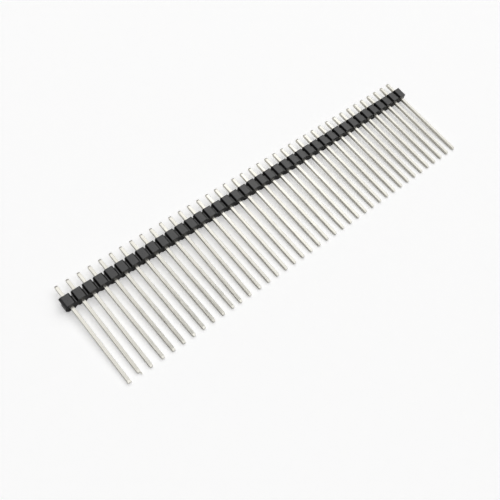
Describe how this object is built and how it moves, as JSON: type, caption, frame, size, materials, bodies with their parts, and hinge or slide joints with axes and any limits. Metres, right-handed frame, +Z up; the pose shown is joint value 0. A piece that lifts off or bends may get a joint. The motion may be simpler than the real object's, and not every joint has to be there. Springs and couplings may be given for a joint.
{
  "type": "pin header strip",
  "caption": "Straight single-row pin header strip: square tinned pins with long posts and short solder tails in a black notched insulator.",
  "frame": {"origin": "on the table, under the middle of the strip's bounding box", "axes": "+X along the row of pins, posts towards -Y, solder tails towards +Y, +Z up from the table. The strip lies on the lower edge of the insulator's post side and on the ends of the posts, so its pins lean 2.9 degrees down towards -Y."},
  "size_m": [0.1016, 0.025, 0.0028],
  "materials": {
    "insulator_plastic": "satin black moulded thermoplastic",
    "tinned_brass": "bright tin plate over brass wire"
  },
  "bodies": {
    "root": {"insulator": "insulator_plastic", "pin_01": "tinned_brass", "pin_02": "tinned_brass", "pin_03": "tinned_brass", "pin_04": "tinned_brass", "pin_05": "tinned_brass", "pin_06": "tinned_brass", "pin_07": "tinned_brass", "pin_08": "tinned_brass", "pin_09": "tinned_brass", "pin_10": "tinned_brass", "pin_11": "tinned_brass", "pin_12": "tinned_brass", "pin_13": "tinned_brass", "pin_14": "tinned_brass", "pin_15": "tinned_brass", "pin_16": "tinned_brass", "pin_17": "tinned_brass", "pin_18": "tinned_brass", "pin_19": "tinned_brass", "pin_20": "tinned_brass", "pin_21": "tinned_brass", "pin_22": "tinned_brass", "pin_23": "tinned_brass", "pin_24": "tinned_brass", "pin_25": "tinned_brass", "pin_26": "tinned_brass", "pin_27": "tinned_brass", "pin_28": "tinned_brass", "pin_29": "tinned_brass", "pin_30": "tinned_brass", "pin_31": "tinned_brass", "pin_32": "tinned_brass", "pin_33": "tinned_brass", "pin_34": "tinned_brass", "pin_35": "tinned_brass", "pin_36": "tinned_brass", "pin_37": "tinned_brass", "pin_38": "tinned_brass", "pin_39": "tinned_brass", "pin_40": "tinned_brass"}
  },
  "joints": []
}
